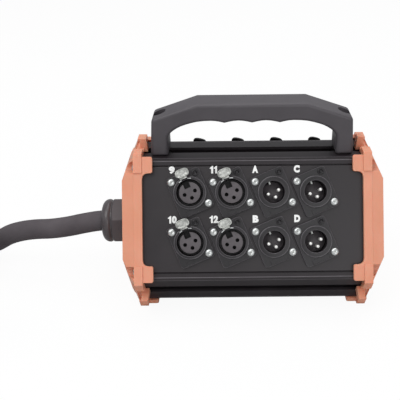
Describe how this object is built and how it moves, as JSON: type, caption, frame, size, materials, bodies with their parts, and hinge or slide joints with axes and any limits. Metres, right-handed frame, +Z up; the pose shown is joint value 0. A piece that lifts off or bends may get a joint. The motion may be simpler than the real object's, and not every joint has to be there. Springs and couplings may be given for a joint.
{
  "type": "stage box snake",
  "caption": "Three-sided stage box with panel connectors on two sloping faces, end caps, a carry handle and a coiled multicore tail with a round plug.",
  "frame": {"origin": "middle of the box's footprint, on the surface that it stands on", "axes": "+X along the box towards the plain end cap, the cable leaves at -X; the labelled panel faces -Y; +Z up"},
  "size_m": [0.52, 0.2172, 0.1483],
  "materials": {
    "black_anodised": "satin black anodised extrusion",
    "black_plate": "fine matt black coat",
    "orange_nylon": "moulded, fine satin grain",
    "black_nylon": "moulded, fine grain",
    "zinc_steel": "bright zinc plate",
    "connector_metal": "black coated die casting",
    "connector_insert": "black glass-filled nylon",
    "gland_nylon": "moulded black nylon",
    "cable_rubber": "smooth matt cable jacket",
    "plug_metal": "black anodised, turned"
  },
  "bodies": {
    "root": {"rail_top": "black_anodised", "rail_front": "black_anodised", "rail_rear": "black_anodised", "panel_front": "black_plate", "panel_rear": "black_plate", "panel_bottom": "black_plate", "end_cap_left": "orange_nylon", "end_cap_right": "orange_nylon", "handle": "black_nylon", "handle_bolt_left": "zinc_steel", "handle_bolt_right": "zinc_steel", "handle_nut_left": "zinc_steel", "handle_nut_right": "zinc_steel", "female_shell_9": "connector_metal", "female_shell_10": "connector_metal", "female_shell_11": "connector_metal", "female_shell_12": "connector_metal", "female_shell_1": "connector_metal", "female_shell_2": "connector_metal", "female_shell_3": "connector_metal", "female_shell_4": "connector_metal", "female_shell_5": "connector_metal", "female_shell_6": "connector_metal", "female_shell_7": "connector_metal", "female_shell_8": "connector_metal", "female_insert_9": "connector_insert", "female_insert_10": "connector_insert", "female_insert_11": "connector_insert", "female_insert_12": "connector_insert", "male_shell_a": "connector_metal", "male_insert_a": "connector_insert", "male_shell_b": "connector_metal", "male_insert_b": "connector_insert", "male_shell_c": "connector_metal", "male_insert_c": "connector_insert", "male_shell_d": "connector_metal", "male_insert_d": "connector_insert", "gland_body": "gland_nylon", "gland_dome_nut": "gland_nylon", "gland_locknut": "gland_nylon", "gland_seal": "cable_rubber", "cable_tube": "cable_rubber", "cable_coil": "cable_rubber", "wiring_loom": "cable_rubber", "plug_clamp_nut": "gland_nylon", "plug_shell": "plug_metal", "plug_insert": "connector_insert"},
    "push_tab_9": {"push_tab_9": "zinc_steel"},
    "push_tab_10": {"push_tab_10": "zinc_steel"},
    "push_tab_11": {"push_tab_11": "zinc_steel"},
    "push_tab_12": {"push_tab_12": "zinc_steel"},
    "push_tab_1": {"push_tab_1": "zinc_steel"},
    "push_tab_2": {"push_tab_2": "zinc_steel"},
    "push_tab_3": {"push_tab_3": "zinc_steel"},
    "push_tab_4": {"push_tab_4": "zinc_steel"},
    "push_tab_5": {"push_tab_5": "zinc_steel"},
    "push_tab_6": {"push_tab_6": "zinc_steel"},
    "push_tab_7": {"push_tab_7": "zinc_steel"},
    "push_tab_8": {"push_tab_8": "zinc_steel"},
    "plug_coupling_ring": {"plug_coupling_ring": "plug_metal"}
  },
  "joints": [
    {"name": "push_tab_9_press", "type": "slide", "parent": "root", "child": "push_tab_9", "axis": [0, 0.866, -0.5], "range_m": [0, 0.0015], "stiffness_N_per_m": 300, "springref_m": -0.0005},
    {"name": "push_tab_10_press", "type": "slide", "parent": "root", "child": "push_tab_10", "axis": [0, 0.866, -0.5], "range_m": [0, 0.0015], "stiffness_N_per_m": 300, "springref_m": -0.0005},
    {"name": "push_tab_11_press", "type": "slide", "parent": "root", "child": "push_tab_11", "axis": [0, 0.866, -0.5], "range_m": [0, 0.0015], "stiffness_N_per_m": 300, "springref_m": -0.0005},
    {"name": "push_tab_12_press", "type": "slide", "parent": "root", "child": "push_tab_12", "axis": [0, 0.866, -0.5], "range_m": [0, 0.0015], "stiffness_N_per_m": 300, "springref_m": -0.0005},
    {"name": "push_tab_1_press", "type": "slide", "parent": "root", "child": "push_tab_1", "axis": [0, -0.866, -0.5], "range_m": [0, 0.0015], "stiffness_N_per_m": 300, "springref_m": -0.0005},
    {"name": "push_tab_2_press", "type": "slide", "parent": "root", "child": "push_tab_2", "axis": [0, -0.866, -0.5], "range_m": [0, 0.0015], "stiffness_N_per_m": 300, "springref_m": -0.0005},
    {"name": "push_tab_3_press", "type": "slide", "parent": "root", "child": "push_tab_3", "axis": [0, -0.866, -0.5], "range_m": [0, 0.0015], "stiffness_N_per_m": 300, "springref_m": -0.0005},
    {"name": "push_tab_4_press", "type": "slide", "parent": "root", "child": "push_tab_4", "axis": [0, -0.866, -0.5], "range_m": [0, 0.0015], "stiffness_N_per_m": 300, "springref_m": -0.0005},
    {"name": "push_tab_5_press", "type": "slide", "parent": "root", "child": "push_tab_5", "axis": [0, -0.866, -0.5], "range_m": [0, 0.0015], "stiffness_N_per_m": 300, "springref_m": -0.0005},
    {"name": "push_tab_6_press", "type": "slide", "parent": "root", "child": "push_tab_6", "axis": [0, -0.866, -0.5], "range_m": [0, 0.0015], "stiffness_N_per_m": 300, "springref_m": -0.0005},
    {"name": "push_tab_7_press", "type": "slide", "parent": "root", "child": "push_tab_7", "axis": [0, -0.866, -0.5], "range_m": [0, 0.0015], "stiffness_N_per_m": 300, "springref_m": -0.0005},
    {"name": "push_tab_8_press", "type": "slide", "parent": "root", "child": "push_tab_8", "axis": [0, -0.866, -0.5], "range_m": [0, 0.0015], "stiffness_N_per_m": 300, "springref_m": -0.0005},
    {"name": "coupling_ring_turn", "type": "hinge", "parent": "root", "child": "plug_coupling_ring", "pos_m": [-0.228, -0.11192, 0.0758], "axis": [1, 0, 0], "range_deg": [0, 90]}
  ]
}
